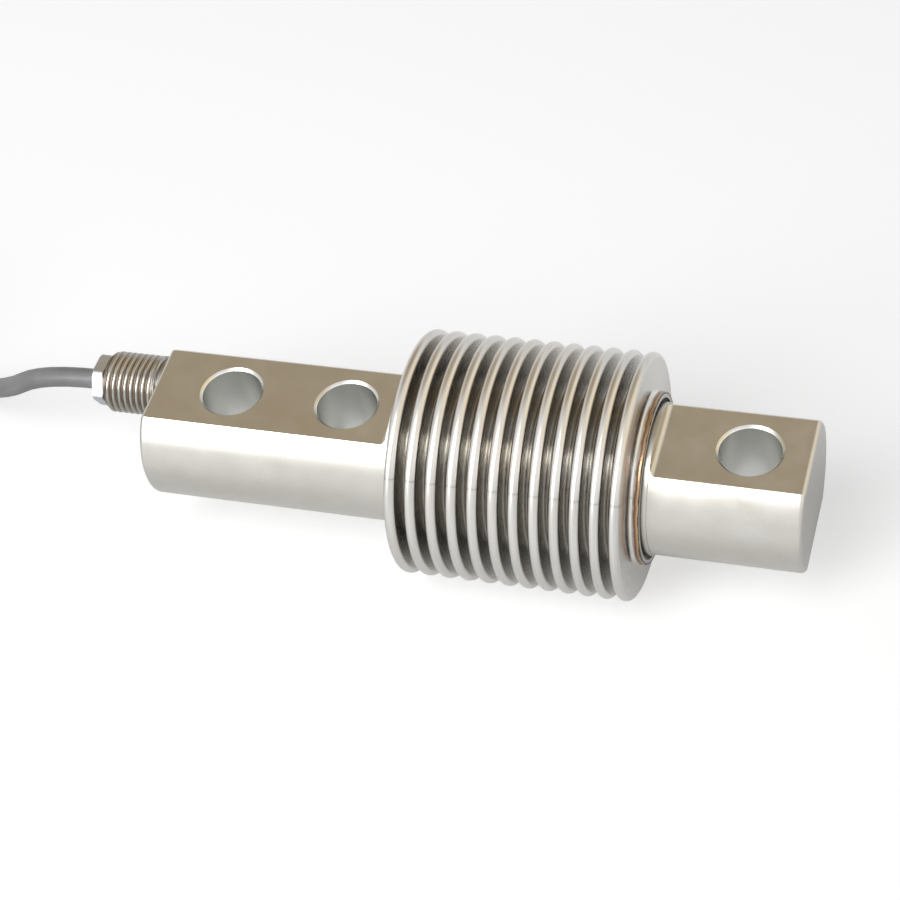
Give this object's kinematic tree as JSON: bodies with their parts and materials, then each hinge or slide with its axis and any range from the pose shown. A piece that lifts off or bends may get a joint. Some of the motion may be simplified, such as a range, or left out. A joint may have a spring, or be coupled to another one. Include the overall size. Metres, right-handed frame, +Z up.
{
  "type": "weighing load cell",
  "caption": "Round bending-beam load cell with a welded metal bellows, flats with bolt holes at both ends and a cable gland at the fixed end.",
  "frame": {"origin": "on the surface that the bellows lies on, under the middle of the cell's length", "axes": "+X along the bar to the loaded end, +Z up through the bolt holes, +Y completes the right-handed set, towards the cable gland's side"},
  "size_m": [0.2843, 0.0652, 0.0503],
  "materials": {
    "bead_blasted_steel": "fine matt stainless, machined and bead blasted",
    "bellows_steel": "bright rolled stainless sheet, hydroformed",
    "welded_steel": "stainless with straw and brown heat tint",
    "gland_steel": "turned stainless, semi-bright",
    "washer_steel": "stamped stainless",
    "seal_rubber": "matt black",
    "jacket_grey": "satin grey polyurethane",
    "potting_compound": "cast resin",
    "gauge_foil": "polyimide carrier with a clear cover",
    "board_laminate": "glass fibre laminate",
    "resistor_body": "dipped",
    "wire_insulation": "extruded",
    "wire_enamel": "enamelled copper",
    "insulation_red": "extruded",
    "insulation_black": "extruded",
    "insulation_green": "extruded",
    "insulation_white": "extruded",
    "tinned_wire": "tinned copper strand",
    "tie_nylon": "moulded nylon"
  },
  "bodies": {
    "root": {"spring_element": "bead_blasted_steel", "bellows": "bellows_steel", "weld_ring_fixed": "welded_steel", "weld_ring_load": "welded_steel", "gauge_top_fixed": "gauge_foil", "gauge_top_load": "gauge_foil", "gauge_bottom_fixed": "gauge_foil", "gauge_bottom_load": "gauge_foil", "terminal_board": "board_laminate", "compensation_board": "board_laminate", "trim_resistors": "resistor_body", "gland_nipple": "gland_steel", "gland_o_ring": "seal_rubber", "washer_inner": "washer_steel", "gland_seal": "seal_rubber", "washer_outer": "washer_steel", "gland_screw": "gland_steel", "channel_potting": "potting_compound", "cable_in_channel": "jacket_grey", "lead_wires": "wire_insulation", "bridge_wires": "wire_enamel", "cable_run": "jacket_grey", "cable_coil": "jacket_grey", "coil_tie": "tie_nylon", "core_red": "insulation_red", "core_black": "insulation_black", "core_green": "insulation_green", "core_white": "insulation_white", "screen_drain": "tinned_wire"}
  },
  "joints": []
}
